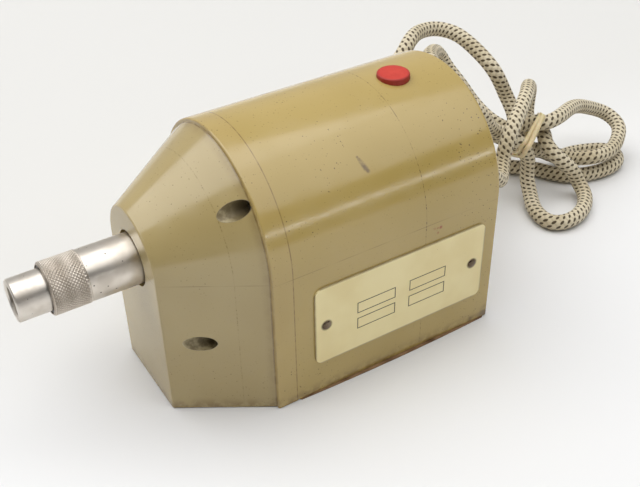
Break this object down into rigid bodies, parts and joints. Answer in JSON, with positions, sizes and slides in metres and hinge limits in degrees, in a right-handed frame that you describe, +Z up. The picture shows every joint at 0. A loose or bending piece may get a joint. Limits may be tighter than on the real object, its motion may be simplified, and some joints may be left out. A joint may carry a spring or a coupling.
{
  "type": "bench motor head",
  "caption": "Mains bench motor head with an arched moulded housing, a quick-release chuck nose, a push button and a tied braided cord.",
  "frame": {"origin": "on the bench under the middle of the motor head, without its cord", "axes": "-Y along the spindle out of the chuck's mouth, +X to the side with the nameplate, +Z up"},
  "size_m": [0.1896, 0.3069, 0.0981],
  "materials": {
    "moulding": "glossy olive khaki moulding with fine dark specks, worn and slightly dirty",
    "screw_steel": "dull zinc-plated steel",
    "fibre": "dark brown vulcanised fibre",
    "sheet_steel": "plain sheet steel",
    "plate_enamel": "cream enamel on thin metal with ruled boxes",
    "pin_steel": "dark blackened steel",
    "red_button": "satin red plastic",
    "spring_steel": "bright spring wire",
    "black_plastic": "black moulding",
    "brass": "plain brass",
    "white_plastic": "off-white plastic",
    "turned_steel": "turned steel with fine pits",
    "knurled_steel": "turned steel, front half with a fine diamond knurl",
    "blue_steel": "dark spring steel",
    "iron": "stacked electrical sheet, lacquered",
    "cast_aluminium": "cast aluminium",
    "copper": null,
    "bronze": "oil-filled sintered bronze",
    "felt": "oiled felt",
    "insulation": "blue wire insulation",
    "braid": "cream textile braid with dark brown flecks",
    "boot_rubber": "dark rubber",
    "plug_plastic": "dark brown-black moulding",
    "tan_rubber": "tan natural rubber"
  },
  "bodies": {
    "housing": {"body_shell": "moulding", "mounting_ring": "moulding", "nose_housing": "moulding", "housing_screws": "screw_steel", "base_pad": "fibre", "base_plate": "sheet_steel", "base_screws": "screw_steel", "nameplate": "plate_enamel", "nameplate_pins": "pin_steel", "button_spring": "spring_steel", "switch_bracket": "sheet_steel", "bracket_screws": "screw_steel", "switch_body": "black_plastic", "switch_nut": "brass", "switch_tags": "brass", "bearing_outer_race": "turned_steel", "bearing_balls": "turned_steel", "bearing_clip": "blue_steel", "stator_core": "iron", "coil_bar": "iron", "shading_rings": "copper", "coil_bobbin": "white_plastic", "coil_winding": "copper", "front_bracket": "sheet_steel", "rear_bracket": "sheet_steel", "bushes": "bronze", "felt_rings": "felt", "motor_bolts": "screw_steel", "terminal_block": "white_plastic", "terminal_screws": "brass", "inner_leads": "insulation", "cord_end": "braid", "cord_clamp": "fibre", "clamp_screws": "screw_steel", "cord_boot": "boot_rubber", "cord_bunch": "braid", "cord_coil": "braid", "plug_body": "plug_plastic", "plug_pins": "brass", "rubber_band": "tan_rubber"},
    "spindle_unit": {"spindle": "turned_steel", "lock_balls": "turned_steel", "snap_ring": "blue_steel", "sleeve_spring": "spring_steel", "bearing_inner_race": "turned_steel", "spindle_clip": "blue_steel", "coupling_screw": "blue_steel", "motor_shaft": "turned_steel", "rotor_core": "iron", "rotor_cage": "cast_aluminium"},
    "sleeve": {"chuck_sleeve": "knurled_steel"},
    "push_button": {"button": "red_button"},
    "plunger": {"switch_plunger": "white_plastic"}
  },
  "joints": [
    {"name": "spindle_spin", "type": "hinge", "parent": "housing", "child": "spindle_unit", "pos_m": [0, 0, 0.0565], "axis": [0, 1, 0], "continuous": true},
    {"name": "sleeve_slide", "type": "slide", "parent": "spindle_unit", "child": "sleeve", "axis": [0, 1, 0], "range_m": [0, 0.004], "stiffness_N_per_m": 500, "springref_m": -0.004, "deforming": ["sleeve_spring"]},
    {"name": "button_press", "type": "slide", "parent": "housing", "child": "push_button", "axis": [0, 0, -1], "range_m": [0, 0.0015], "stiffness_N_per_m": 300, "springref_m": -0.003, "deforming": ["button_spring"]},
    {"name": "plunger_slide", "type": "slide", "parent": "housing", "child": "plunger", "axis": [0, 0, -1], "range_m": [0, 0.0015]}
  ],
  "couplings": [
    {"joint": "plunger_slide", "follows": "button_press", "ratio": 1}
  ]
}
